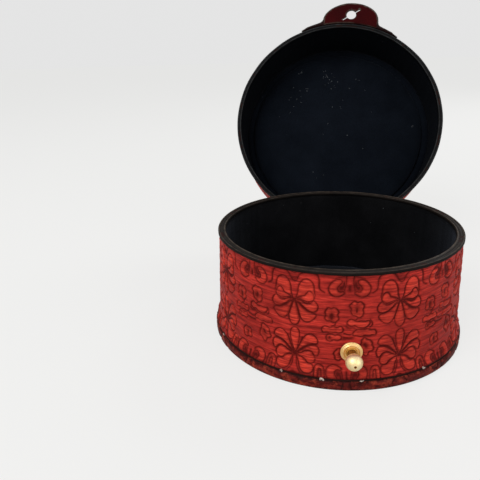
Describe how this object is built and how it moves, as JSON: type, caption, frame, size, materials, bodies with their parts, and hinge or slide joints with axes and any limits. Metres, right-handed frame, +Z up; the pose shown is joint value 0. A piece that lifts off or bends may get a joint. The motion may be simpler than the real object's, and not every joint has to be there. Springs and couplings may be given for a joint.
{
  "type": "instrument case",
  "caption": "Round leather-covered case with a velvet-lined well, a deep slip-over lid on a leather strap hinge, and a keyhole flap that buttons on a ball stud.",
  "frame": {"origin": "centre of the underside, on the surface that the case stands on", "axes": "+Z up out of the well; the strap hinge is at the back, +Y; the stud and the flap are at the front, -Y"},
  "size_m": [0.1446, 0.2519, 0.1806],
  "materials": {
    "tooled_leather": "satin, blind-tooled",
    "plain_leather": "satin",
    "edge_binding": "satin",
    "board": "matt pressed board",
    "velvet_black": "velvet pile",
    "velvet_navy": "velvet pile",
    "brass": "turned, slightly dulled"
  },
  "bodies": {
    "body": {"base_board": "board", "base_sole": "plain_leather", "base_band": "tooled_leather", "body_shell": "board", "body_leather": "tooled_leather", "rim_binding": "edge_binding", "wall_lining": "velvet_black", "floor_pad": "velvet_black", "stud": "brass", "stud_washer": "brass", "stud_screw": "brass", "hinge_strap_body": "plain_leather"},
    "lid": {"lid_tube": "board", "lid_board": "board", "lid_wall_leather": "tooled_leather", "lid_top_leather": "tooled_leather", "lid_rim_binding": "edge_binding", "lid_wall_lining": "velvet_navy", "lid_panel_lining": "velvet_navy", "lid_pad": "velvet_navy", "hinge_strap_lid": "plain_leather"},
    "flap": {"closing_flap": "plain_leather", "flap_lining": "plain_leather"}
  },
  "joints": [
    {"name": "lid_hinge", "type": "hinge", "parent": "body", "child": "lid", "pos_m": [0, 0.07548, 0.0318], "axis": [-1, 0, 0], "range_deg": [-116.6, 0]},
    {"name": "flap_bend", "type": "hinge", "parent": "lid", "child": "flap", "pos_m": [0.00756, 0.13673, 0.16595], "axis": [-0.9945, 0.0468, 0.0935], "range_deg": [-90, 60]}
  ]
}
